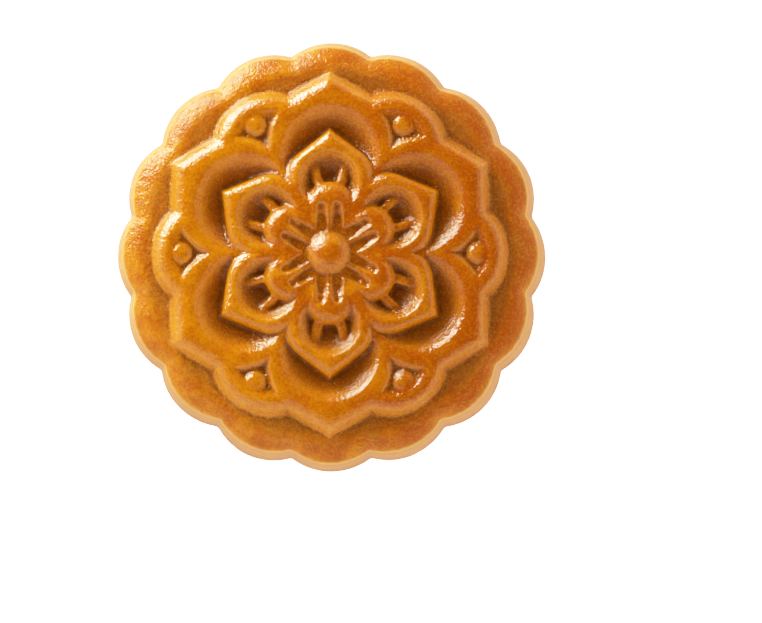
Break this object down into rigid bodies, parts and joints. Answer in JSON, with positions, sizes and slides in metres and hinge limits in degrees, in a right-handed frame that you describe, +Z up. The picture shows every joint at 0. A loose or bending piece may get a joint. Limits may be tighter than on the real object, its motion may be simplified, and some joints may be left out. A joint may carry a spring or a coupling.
{
  "type": "lotus seed mooncake",
  "caption": "Round scalloped mooncake with a glazed crust and a flower pressed into its flat top.",
  "frame": {"origin": "middle of the flat base", "axes": "+Z up through the middle of the flower, +Y along one pointed petal"},
  "size_m": [0.068, 0.068, 0.0232],
  "materials": {
    "baked_crust": "baked dough with an egg glaze: deep orange brown and glossy on raised forms, tan in hollows and on the side"
  },
  "bodies": {
    "root": {"mooncake": "baked_crust"}
  },
  "joints": []
}
